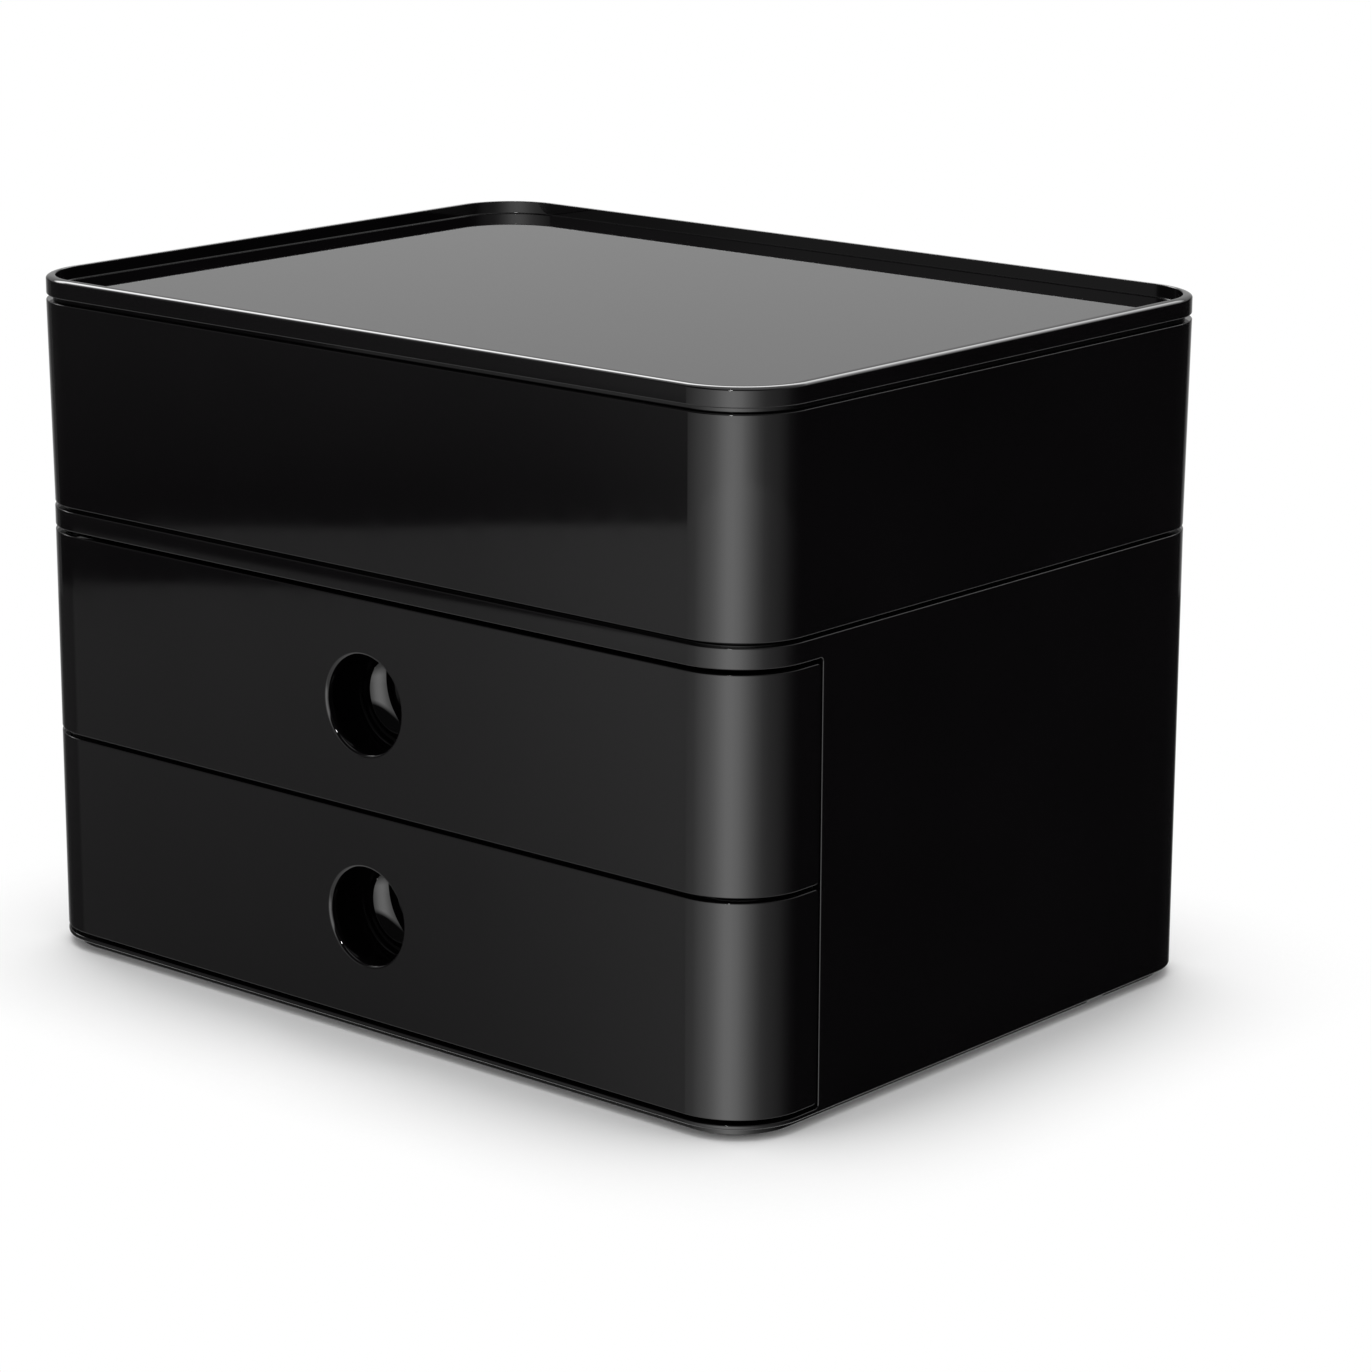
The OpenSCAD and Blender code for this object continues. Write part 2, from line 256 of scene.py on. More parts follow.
    def top(self) -> "WorkPiece":
        """Selects the highest face that looks up."""
        height = max(v.co.z for v in self.obj.data.vertices)
        return self.faces(lambda c, n: n.z > 0.9 and c.z > height - NEAR)

    def underside(self) -> "WorkPiece":
        """Selects the lowest face that looks down."""
        height = min(v.co.z for v in self.obj.data.vertices)
        return self.faces(lambda c, n: n.z < -0.9 and c.z < height + NEAR)

    def inset(self, width: float, rise: float = 0.0) -> "WorkPiece":
        """Draws the selected face in by a width all round, and lifts it along its normal."""
        bpy.ops.mesh.inset(thickness=width, depth=rise, use_even_offset=True)
        return self

    def push(self, x: float = 0.0, y: float = 0.0, z: float = 0.0) -> "WorkPiece":
        """Extrudes the selected face by a distance along each axis."""
        bpy.ops.mesh.extrude_region_move(TRANSFORM_OT_translate={"value": (x, y, z)})
        return self

    def widen(self, x: float, y: float) -> "WorkPiece":
        """Scales what is selected about the middle of the box."""
        bpy.ops.transform.resize(value=(x, y, 1), center_override=(0, 0, 0))
        return self

    def bevel(self, width: float, segments: int) -> "WorkPiece":
        """Rounds the selected edges.

        Args:
            width: The radius, or the width of the chamfer.
            segments: How many faces the rounding has; 1 makes a chamfer.

        Returns:
            The piece itself.
        """
        bpy.ops.mesh.bevel(offset=width, segments=segments, profile=0.5, affect="EDGES",
                           clamp_overlap=False)
        bpy.ops.object.mode_set(mode="OBJECT")
        return self

    def round_uprights(self, radius: float, front_only: bool = False, segments: int = 28) -> "WorkPiece":
        """Rounds the upright edges.

        Args:
            radius: The corners' radius.
            front_only: Whether only the two front corners are rounded.
            segments: How many faces each corner has.

        Returns:
            The piece itself.
        """
        middle = sum(v.co.y for v in self.obj.data.vertices) / len(self.obj.data.vertices)

        def upright(a: Vector, b: Vector) -> bool:
            """Whether an edge stands upright, and at the front where only those count."""
            stands = abs(a.x - b.x) < NEAR and abs(a.y - b.y) < NEAR and abs(a.z - b.z) > NEAR
            return stands and (a.y < middle or not front_only)

        return self.edges(upright).bevel(radius, segments)

    def carve(self, how: Carve, *tools: "WorkPiece") -> "WorkPiece":
        """Cuts, adds or keeps what each tool covers, and takes the tools away.

        Args:
            how: What the tools do.
            tools: The pieces that do it.

        Returns:
            The piece itself.
        """
        for tool in tools:
            self.activate()
            boolean = self.obj.modifiers.new(how.name.lower(), "BOOLEAN")
            boolean.operation = how.value
            boolean.solver = "EXACT"
            boolean.object = tool.obj
            bpy.ops.object.modifier_apply(modifier=boolean.name)
            bpy.data.objects.remove(tool.obj)
        return self

    def soften(self, width: float = 0.3 * MM, segments: int = 3, angle: float = 30.0) -> "WorkPiece":
        """Gives every sharp edge the small radius of a moulded part, and shades it smooth.

        Args:
            width: The radius of the edges.
            segments: How many faces each edge gets.
            angle: The least angle of an edge that is rounded, in degrees.

        Returns:
            The piece itself.
        """
        self.activate()
        bpy.ops.object.mode_set(mode="EDIT")
        bpy.ops.mesh.select_all(action="SELECT")
        bpy.ops.mesh.remove_doubles(threshold=1e-6)
        bpy.ops.object.mode_set(mode="OBJECT")
        round_edges(self.obj, width, segments, angle)
        for name in [m.name for m in self.obj.modifiers]:
            bpy.ops.object.modifier_apply(modifier=name)
        return self

    def finish(self, body: "Body", finish: "Finish", *nodes: str) -> bpy.types.Object:
        """Dresses the piece and lets it stand for its nodes.

        Args:
            body: The body that it rides on.
            finish: Its finish.
            nodes: The nodes that it stands for.

        Returns:
            The finished object.
        """
        clear_selection()
        dress(self.obj, finish)
        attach(self.obj, body.value)
        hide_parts(*nodes)
        LOG.info("%s: %d faces, %s", self.obj.name, len(self.obj.data.polygons), finish.slot.value)
        return self.obj


def round_edges(obj: bpy.types.Object, width: float, segments: int, angle: float) -> None:
    """Adds the modifiers that round an object's sharp edges and even out its shading.

    Args:
        obj: A mesh object.
        width: The radius of the edges.
        segments: How many faces each edge gets.
        angle: The least angle of an edge that is rounded, in degrees.
    """
    obj.data.polygons.foreach_set("use_smooth", [True] * len(obj.data.polygons))
    bevel = obj.modifiers.new("moulded_edges", "BEVEL")
    bevel.width = width
    bevel.segments = segments
    bevel.limit_method = "ANGLE"
    bevel.angle_limit = math.radians(angle)
    bevel.use_clamp_overlap = False
    bevel.miter_outer = "MITER_ARC"
    even = obj.modifiers.new("even_shading", "WEIGHTED_NORMAL")
    even.weight = 100
    even.keep_sharp = False


# ---- finishes ----


class Slot(Enum):
    """The record's material slots."""

    GLOSS = "gloss_shell"
    SATIN = "inner_plastic"
    RUBBER = "foot_rubber"


class NodeBoard:
    """Draws nodes from left to right, in a material or in the world."""

    def __init__(self, tree: bpy.types.NodeTree) -> None:
        """Takes over a node tree.

        Args:
            tree: The nodes of a material or of the world.
        """
        self.nodes = tree.nodes
        self.links = tree.links

    def plug(self, node: bpy.types.Node, inputs: dict[int | str, Value]) -> bpy.types.Node:
        """Links sockets to a node's inputs, and writes numbers and colours into them.

        Args:
            node: The node.
            inputs: What goes in, by the input's name or place.

        Returns:
            The node itself.
        """
        for key, value in inputs.items():
            if isinstance(value, bpy.types.NodeSocket):
                self.links.new(value, node.inputs[key])
            else:
                node.inputs[key].default_value = value
        return node

    def add(self, kind: str, **values: object) -> bpy.types.Node:
        """Adds a node.

        Args:
            kind: The node's type.
            values: Its inputs by name, with _ for a space, and its settings.

        Returns:
            The new node.
        """
        node = self.nodes.new(kind)
        for key, value in values.items():
            name = key.replace("_", " ")
            if name in node.inputs:
                self.plug(node, {name: value})
            else:
                setattr(node, key, value)
        return node

    def calculate(self, operation: str, *values: Value) -> bpy.types.NodeSocket:
        """Works out a number.

        Args:
            operation: What is done with the values, by the math node's own name for it.
            values: What goes in.

        Returns:
            The result.
        """
        node = self.add("ShaderNodeMath", operation=operation)
        return self.plug(node, dict(enumerate(values))).outputs[0]

    def blend(self, share: bpy.types.NodeSocket, first: Value, second: Value) -> bpy.types.NodeSocket:
        """Mixes two numbers.

        Args:
            share: The share of the second one.
            first: The result at 0.
            second: The result at 1.

        Returns:
            The mixed number.
        """
        return self.plug(self.add("ShaderNodeMix"), {0: share, 2: first, 3: second}).outputs[0]

    def spread(self, value: bpy.types.NodeSocket, low: float, high: float,
               start: float = 0.3, end: float = 0.7) -> bpy.types.NodeSocket:
        """Maps a value to a range.

        Args:
            value: The value to map.
            low: The result at start.
            high: The result at end.
            start: The value that gives low.
            end: The value that gives high.

        Returns:
            The mapped value.
        """
        node = self.add("ShaderNodeMapRange", Value=value, From_Min=start, From_Max=end, To_Min=low,
                        To_Max=high)
        return node.outputs["Result"]


class MaterialBoard(NodeBoard):
    """Draws a new material's nodes, with the tools that surfaces need."""

    def __init__(self, name: str) -> None:
        """Starts a material with its shader and output.

        Args:
            name: The material's name.
        """
        self.material = bpy.data.materials.new(name)
        self.material.use_nodes = True
        super().__init__(self.material.node_tree)
        self.shader = self.nodes["Principled BSDF"]
        self.place = self.add("ShaderNodeTexCoord").outputs["Object"]

    def noise(self, size: float, detail: float = 2.0, roughness: float = 0.5) -> bpy.types.NodeSocket:
        """Adds noise with spots of a given size.

        Args:
            size: The size of a spot, in metres.
            detail: How many finer layers it has.
            roughness: How strong those are.

        Returns:
            The noise's value, around 0.5.
        """
        node = self.add("ShaderNodeTexNoise", Vector=self.place, Scale=1 / size, Detail=detail,
                        Roughness=roughness)
        return node.outputs["Fac"]

    def relief(self, height: bpy.types.NodeSocket, depth: float,
               under: bpy.types.NodeSocket | None = None) -> bpy.types.NodeSocket:
        """Adds a bump.

        Args:
            height: The height, from 0 to 1.
            depth: How deep the bump is, in metres.
            under: A normal from another bump that this one lies on.

        Returns:
            The bumped normal.
        """
        node = self.add("ShaderNodeBump", Height=height, Distance=depth, Strength=1.0)
        if under is not None:
            self.links.new(under, node.inputs["Normal"])
        return node.outputs["Normal"]

    def tint(self, share: bpy.types.NodeSocket, dark: Point, light: Point) -> bpy.types.NodeSocket:
        """Mixes two colours.

        Args:
            share: The share of the light colour.
            dark: The colour at 0.
            light: The colour at 1.

        Returns:
            The mixed colour.
        """
        node = self.nodes.new("ShaderNodeMix")
        node.data_type = "RGBA"
        self.plug(node, {"Factor": share, "A": (*dark, 1), "B": (*light, 1)})
        return [s for s in node.outputs if s.type == "RGBA"][0]

    def feed(self, socket: bpy.types.NodeSocket, name: str) -> None:
        """Links a socket to an input of the shader."""
        self.plug(self.shader, {name: socket})

    def fix(self, **values: Value) -> None:
        """Sets inputs of the shader itself, with _ for a space."""
        self.plug(self.shader, {key.replace("_", " "): value for key, value in values.items()})


@dataclass(frozen=True)
class Finish:
    """What all finishes have: a slot, two close colours and a name."""

    slot: Slot
    name: str
    dark: tuple[float, float, float]
    light: tuple[float, float, float]

    def material(self) -> bpy.types.Material:
        """Builds the material once and returns it."""
        known = bpy.data.materials.get(self.name)
        if known is not None:
            return known
        board = MaterialBoard(self.name)
        self.draw(board)
        return board.material

    def draw(self, board: MaterialBoard) -> None:
        """Draws the finish; each kind has its own.

        Args:
            board: The board to draw on.
        """
        raise NotImplementedError


@dataclass(frozen=True)
class PolishedPlastic(Finish):
    """High-gloss moulded plastic: faint flow waves, hair-fine haze and edges that have dulled."""

    haze_low: float = 0.018
    haze_high: float = 0.034
    edge_haze: float = 0.05
    cloud_size: float = 40 * MM
    haze_size: float = 9 * MM
    wave_size: float = 55 * MM
    wave_depth: float = 0.012 * MM
    skin_size: float = 1.2 * MM
    skin_depth: float = 0.00012 * MM

    def draw(self, board: MaterialBoard) -> None:
        """Draws the polished plastic on a board."""
        cloud = board.noise(self.cloud_size, detail=3)
        board.feed(board.tint(board.spread(cloud, 0, 1), self.dark, self.light), "Base Color")
        haze = board.spread(board.noise(self.haze_size, detail=4), self.haze_low, self.haze_high)
        worn = board.add("ShaderNodeNewGeometry").outputs["Pointiness"]
        edge = board.spread(worn, 0.0, self.edge_haze, start=0.52, end=0.62)
        board.feed(board.calculate("ADD", haze, edge), "Roughness")
        waves = board.relief(board.noise(self.wave_size, detail=1), self.wave_depth)
        board.feed(board.relief(board.noise(self.skin_size), self.skin_depth, under=waves), "Normal")
        board.fix(IOR=1.5, Specular_IOR_Level=0.5)


@dataclass(frozen=True)
class SatinPlastic(Finish):
    """Moulded plastic with a fine spark-eroded grain, as on parts that don't show."""

    cloud_size: float = 30 * MM
    haze_size: float = 6 * MM
    haze_low: float = 0.34
    haze_high: float = 0.46
    grain_size: float = 0.35 * MM
    grain_depth: float = 0.012 * MM

    def draw(self, board: MaterialBoard) -> None:
        """Draws the satin plastic on a board."""
        cloud = board.noise(self.cloud_size, detail=3)
        board.feed(board.tint(board.spread(cloud, 0, 1), self.dark, self.light), "Base Color")
        haze = board.noise(self.haze_size, detail=3)
        board.feed(board.spread(haze, self.haze_low, self.haze_high), "Roughness")
        board.feed(board.relief(board.noise(self.grain_size, detail=2), self.grain_depth), "Normal")
        board.fix(IOR=1.5, Specular_IOR_Level=0.5)


@dataclass(frozen=True)
class SoftRubber(Finish):
    """Soft rubber with a dusty, rough skin."""

    dust_size: float = 3 * MM
    grain_size: float = 0.25 * MM
    grain_depth: float = 0.03 * MM

    def draw(self, board: MaterialBoard) -> None:
        """Draws the rubber on a board."""
        dust = board.noise(self.dust_size, detail=5)
        board.feed(board.tint(board.spread(dust, 0, 1), self.dark, self.light), "Base Color")
        board.feed(board.spread(dust, 0.75, 0.9), "Roughness")
        board.feed(board.relief(board.noise(self.grain_size, detail=3), self.grain_depth), "Normal")
        board.fix(IOR=1.5, Specular_IOR_Level=0.3)


GLOSS_BLACK = PolishedPlastic(Slot.GLOSS, "gloss_black", (0.0019, 0.0016, 0.0019), (0.0026, 0.0022, 0.0026))
SATIN_BLACK = SatinPlastic(Slot.SATIN, "satin_black", (0.0075, 0.007, 0.0078), (0.0095, 0.0088, 0.0096))
RUBBER_BLACK = SoftRubber(Slot.RUBBER, "rubber_black", (0.008, 0.008, 0.008), (0.016, 0.016, 0.016))


def dress(obj: bpy.types.Object, finish: Finish) -> None:
    """Gives an object a finish.

    Args:
        obj: A mesh object, modelled here or carried over.
        finish: The finish.
    """
    obj.data.materials.clear()
    obj.data.materials.append(finish.material())


# ---- the box's pieces ----


class Body(Enum):
    """The bodies that pieces ride on."""

    HOUSING = "housing"
    UPPER = "upper_drawer"
    LOWER = "lower_drawer"
    UTENSIL = "utensil_unit"
    LID = "lid_unit"


def carry_over(node: str, finish: Finish) -> None:
    """Keeps a node's own shape, rounds its edges a little and gives it a finish.

    Args:
        node: The node's name.
        finish: Its finish.
    """
    obj = frame["nodes"][node]
    weld = obj.modifiers.new("joined_faces", "WELD")
    weld.merge_threshold = 1e-6
    flat = obj.modifiers.new("whole_faces", "DECIMATE")
    flat.decimate_type = "DISSOLVE"
    flat.angle_limit = math.radians(0.5)
    round_edges(obj, 0.25 * MM, 2, 35)
    dress(obj, finish)
    LOG.info("%s: kept from the frame, %s", node, finish.slot.value)


@dataclass
class Plinth:
    """The inset ring that a box stands on, with a notch in each side."""

    height: float = 2.5 * MM
    width: float = 2.6 * MM
    inset: float = 3.3 * MM
    floor_up: float = 1.7 * MM
    notch_l: float = 7.6 * MM
    notch_h: float = 1.3 * MM
    notch_y: float = 53.7 * MM

    def shape(self, piece: WorkPiece, half_w: float, foot_z: float, inset: float) -> None:
        """Draws the plinth out of a piece's underside.

        Args:
            piece: The piece, whose underside is still flat.
            half_w: Half the width of the housing.
            foot_z: The height of the plinth's lower edge.
            inset: How far the plinth stands back from the piece's outline.
        """
        piece.underside().inset(inset).push(z=-self.height).inset(self.width).push(z=self.floor_up)
        for side in (-1, 1):
            x = side * (half_w - self.inset - self.width / 2)
            low = (x - self.width, self.notch_y - self.notch_l / 2, foot_z - self.notch_h)
            high = (x + self.width, self.notch_y + self.notch_l / 2, foot_z + self.notch_h)
            piece.carve(Carve.CUT, WorkPiece.block("notch", low, high))


@dataclass
class Housing:
    """The lower part: shell, rear panel, shelf, stops and feet."""

    corner_r: float = 20 * MM
    wall: float = 2.6 * MM
    plate: float = 2.0 * MM
    lip: float = 1.2 * MM
    recess_edge: float = 3.0 * MM
    recess_depth: float = 1.4 * MM
    opening_rear_y: float = -69.5 * MM
    opening_top_z: float = 120.1 * MM
    opening_edge_r: float = 1.0 * MM
    window_half_w: float = 104 * MM
    window_low_z: float = 14.9 * MM
    window_high_z: float = 113.5 * MM
    rebate: float = 4.0 * MM
    half_w: float = 130 * MM
    floor_top_z: float = 4.1 * MM
    runner_x: float = 95 * MM
    runner_front_y: float = -87.5 * MM
    runner_back: float = 8 * MM
    runner_h: float = 0.95 * MM
    rib_ends: Span = (-65.5 * MM, 75.5 * MM)
    rib_h: float = 3 * MM
    guide_w: float = 2.0 * MM
    ledge_w: float = 3.0 * MM
    ledge_h: float = 2.5 * MM
    rib_sunk: float = 0.2 * MM
    rib_in_wall: float = 0.4 * MM
    plinth: Plinth = field(default_factory=Plinth)

    def build(self) -> None:
        """Builds and dresses all the pieces of the housing."""
        self.shell()
        self.rear_panel()
        for node in ("middle_shelf", "upper_drawer_stop", "lower_drawer_stop"):
            carry_over(node, SATIN_BLACK)
        for side in ("front_left", "front_right", "rear_left", "rear_right"):
            self.foot(f"foot_{side}")

    def shell(self) -> bpy.types.Object:
        """Models the shell with its recess, plinth, opening, window and ribs.

        Returns:
            The finished shell.
        """
        low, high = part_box("housing_shell")
        foot_z = low.z
        floor_z = foot_z + self.plinth.height
        hollow_z = floor_z + self.lip
        deck_z = high.z - self.recess_depth - self.plate
        piece = WorkPiece.block("desk_housing", (low.x, low.y, floor_z), high).round_uprights(self.corner_r)
        piece.top().inset(self.recess_edge).push(z=-self.recess_depth)
        self.plinth.shape(piece, high.x, foot_z, self.plinth.inset)
        inside = WorkPiece.block("inside", (low.x + self.wall, low.y + self.wall, hollow_z),
                                 (high.x - self.wall, high.y - self.wall, deck_z))
        inside.round_uprights(self.corner_r - self.wall)
        opening = WorkPiece.block("opening", (low.x - MM, low.y - MM, hollow_z),
                                  (high.x + MM, self.opening_rear_y, self.opening_top_z))
        opening.edges(lambda a, b: abs(a.x - b.x) > NEAR and min(a.y, b.y) > self.opening_rear_y - NEAR)
        opening.bevel(self.opening_edge_r, 6)
        piece.carve(Carve.CUT, inside, opening, self.rear_cut("window", high.y, 2 * self.wall),
                    self.rear_cut("rebate", high.y, self.wall / 2, self.rebate))
        piece.carve(Carve.ADD, *self.ribs())
        return piece.soften().finish(Body.HOUSING, GLOSS_BLACK, "housing_shell")

    def rear_cut(self, name: str, rear_y: float, depth: float, margin: float = 0.0) -> WorkPiece:
        """Makes a tool that cuts a rectangle into the rear wall.

        Args:
            name: The tool's name.
            rear_y: The place of the wall's outer face.
            depth: How deep the tool cuts.
            margin: How far it reaches past the window's edges.

        Returns:
            The tool.
        """
        half_w = self.window_half_w + margin
        return WorkPiece.block(name, (-half_w, rear_y - depth, self.window_low_z - margin),
                               (half_w, rear_y + MM, self.window_high_z + margin))

    def ribs(self) -> list[WorkPiece]:
        """Makes the runner ribs, guide ribs and ledges that are moulded onto the shell.

        Returns:
            One block for each rib.
        """
        _, tray_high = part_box("lower_drawer_tray")
        shelf_low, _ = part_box("middle_shelf")
        wall_x = self.half_w - self.wall
        floor_z = self.floor_top_z
        shelf_top = shelf_low.z + self.plate
        front_y, rear_y = self.rib_ends
        ribs = []
        for side in (-1, 1):
            start = (side * self.runner_x - MM, self.runner_front_y, floor_z - self.rib_sunk)
            end = (side * self.runner_x + MM, tray_high.y - self.runner_back, floor_z + self.runner_h)
            ribs.append(WorkPiece.block("runner", start, end))
            for depth, z0, z1 in ((self.guide_w, floor_z - self.rib_sunk, floor_z + self.rib_h),
                                  (self.guide_w, shelf_top, shelf_top + self.rib_h),
                                  (self.ledge_w, shelf_low.z - self.ledge_h, shelf_low.z)):
                inner, outer = side * (wall_x - depth), side * (wall_x + self.rib_in_wall)
                ribs.append(WorkPiece.block("rib", (min(inner, outer), front_y, z0),
                                            (max(inner, outer), rear_y, z1)))
        return ribs

    def rear_panel(self) -> bpy.types.Object:
        """Models the rear panel: a plate in the rebate with a plug behind it.

        Returns:
            The finished panel.
        """
        low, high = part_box("rear_panel")
        middle = (low.y + high.y) / 2
        piece = WorkPiece.block("rear_cover", (low.x, middle, low.z), high)
        piece.faces(lambda c, n: n.y < -0.9).inset(self.rebate).push(y=low.y - middle)
        return piece.soften().finish(Body.HOUSING, GLOSS_BLACK, "rear_panel")

    def foot(self, node: str) -> bpy.types.Object:
        """Models a rubber foot with a chamfered edge and a ring groove in its underside.

        Args:
            node: The foot's node.

        Returns:
            The finished foot.
        """
        low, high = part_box(node)
        centre = ((low.x + high.x) / 2, (low.y + high.y) / 2, 0)
        radius, top = (high.x - low.x) / 2, high.z
        edge, edge_in, edge_up = 0.6 * MM, 0.2 * MM, 0.22 * MM
        groove_r, groove_w, groove_d = 0.55 * radius, 0.5 * MM, 0.25 * MM
        profile = [(0, 0), (groove_r - groove_w, 0), (groove_r, groove_d), (groove_r + groove_w, 0)]
        profile += [(radius - edge, 0), (radius - edge_in, edge_up), (radius, edge)]
        profile += [(radius, top), (0, top)]
        piece = WorkPiece.lathe(f"pad_{node}", centre, (0, 0, 1), profile, steps=64)
        return piece.soften(0.08 * MM, 2, 40).finish(Body.HOUSING, RUBBER_BLACK, node)


@dataclass
class Drawer:
    """One drawer: a tray, a front that wraps round both corners, and a finger cup."""

    level: str
    body: Body
    corner_r: float = 20 * MM
    front_t: float = 2.0 * MM
    wing_edge_r: float = 1.0 * MM
    hole_r: float = 13.2 * MM
    hole_chamfer: float = 0.6 * MM
    tray_half_w: float = 125 * MM
    tray_r: float = 15 * MM
    tray_t: float = 1.8 * MM
    side_h: float = 46.125 * MM
    catch_half_w: float = 12 * MM
    cup_r: float = 18 * MM
    cup_t: float = 1.5 * MM
    cup_round: float = 9 * MM
    cup_mouth: float = 0.3 * MM
    flange_w: float = 1.3 * MM
    flange_gap: float = 0.3 * MM

    def build(self) -> None:
        """Builds and dresses the drawer's three pieces."""
        self.front()
        self.tray()
        self.cup()

    def hole_centre(self) -> tuple[float, float]:
        """Finds the hole's place.

        Returns:
            The front of the drawer, and the height of the hole's centre.
        """
        low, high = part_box(f"{self.level}_drawer_front")
        return low.y, (low.z + high.z) / 2

    def front(self) -> bpy.types.Object:
        """Models the front with its wings, their returns and the finger hole.

        Returns:
            The finished front.
        """
        node = f"{self.level}_drawer_front"
        low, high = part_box(node)
        wing_y = high.y
        front_y, hole_z = self.hole_centre()
        piece = WorkPiece.block(f"{self.level}_front", low, (high.x, wing_y + 8 * MM, high.z))
        piece.round_uprights(self.corner_r, front_only=True)
        inner = WorkPiece.block("inner", (low.x + self.front_t, low.y + self.front_t, low.z - MM),
                                (high.x - self.front_t, wing_y + 9 * MM, high.z + MM))
        inner.round_uprights(self.corner_r - self.front_t, front_only=True)
        piece.carve(Carve.CUT, inner)
        for side in (-1, 1):
            ends = sorted((side * self.tray_half_w, side * (high.x - self.front_t / 2)))
            piece.carve(Carve.ADD, WorkPiece.block("return", (ends[0], wing_y - self.front_t, low.z),
                                                   (ends[1], wing_y + MM, high.z)))
        keep = WorkPiece.block("keep", (low.x - MM, low.y - MM, low.z), (high.x + MM, wing_y, high.z))
        keep.edges(lambda a, b: abs(a.x - b.x) > NEAR and min(a.y, b.y) > wing_y - NEAR)
        keep.bevel(self.wing_edge_r, 6)
        piece.carve(Carve.KEEP, keep)
        piece.carve(Carve.CUT, WorkPiece.rod("hole", (0, front_y - MM, hole_z), self.hole_r, 5 * MM))
        piece.edges(lambda a, b: max(a.y, b.y) < front_y + NEAR
                    and math.hypot(a.x, a.z - hole_z) < self.hole_r + NEAR
                    and math.hypot(b.x, b.z - hole_z) < self.hole_r + NEAR)
        piece.bevel(self.hole_chamfer, 1)
        return piece.soften(0.25 * MM, 3).finish(self.body, GLOSS_BLACK, node)

    def tray(self) -> bpy.types.Object:
        """Models the tray: high front wall, lower sides, and the catch on its rear wall.

        Returns:
            The finished tray.
        """
        node = f"{self.level}_drawer_tray"
        low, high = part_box(node)
        front_y, hole_z = self.hole_centre()
        piece = WorkPiece.block(f"{self.level}_tray", low, high).round_uprights(self.tray_r, segments=20)
        piece.top().inset(self.tray_t).push(z=self.tray_t - (high.z - low.z))
        for side in (-1, 1):
            ends = sorted((side * self.catch_half_w, side * (self.tray_half_w + MM)))
            start = (ends[0], low.y + self.tray_r, low.z + self.side_h)
            end = (ends[1], high.y + MM, high.z + MM)
            piece.carve(Carve.CUT, WorkPiece.block("above_side", start, end))
        flange_r = self.cup_r + self.cup_t + self.flange_w + self.flange_gap
        piece.carve(Carve.CUT, WorkPiece.rod("cup_seat", (0, low.y - MM, hole_z), flange_r, 4 * MM))
        return piece.soften(0.35 * MM, 3).finish(self.body, SATIN_BLACK, node)

    def cup(self) -> bpy.types.Object:
        """Models the round cup behind the finger hole on a lathe.

        Returns:
            The finished cup.
        """
        node = f"{self.level}_finger_cup"
        low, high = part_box(node)
        depth = high.y - low.y - self.cup_t
        flange_r = (high.x - low.x) / 2
        profile = [(0.0, depth)]
        profile += self.quarter(self.cup_r, depth, self.cup_round)
        profile += [(self.cup_r, self.cup_mouth), (self.cup_r + self.cup_mouth, 0.0)]
        profile += [(flange_r, 0.0), (flange_r, self.tray_t), (self.cup_r + self.cup_t, self.tray_t)]
        outside = (size + self.cup_t for size in (self.cup_r, depth, self.cup_round))
        profile += self.quarter(*outside)[::-1]
        profile += [(0.0, depth + self.cup_t)]
        _, hole_z = self.hole_centre()
        piece = WorkPiece.lathe(f"{self.level}_cup", (0, low.y, hole_z), (0, 1, 0), profile, steps=128)
        return piece.soften(0.15 * MM, 2, 40).finish(self.body, GLOSS_BLACK, node)

    def quarter(self, radius: float, depth: float, round_r: float, steps: int = 18) -> list[Span]:
        """Draws the rounded edge at the bottom of the cup.

        Args:
            radius: The cup's radius.
            depth: The depth of its bottom.
            round_r: The radius of the rounded edge.
            steps: How many steps the rounded edge has.

        Returns:
            Pairs of radius and depth, from the bottom to the wall.
        """
        angles = [math.pi / 2 * (1 - i / steps) for i in range(steps + 1)]
        inner_r, above = radius - round_r, depth - round_r
        return [(inner_r + round_r * math.cos(a), above + round_r * math.sin(a)) for a in angles]


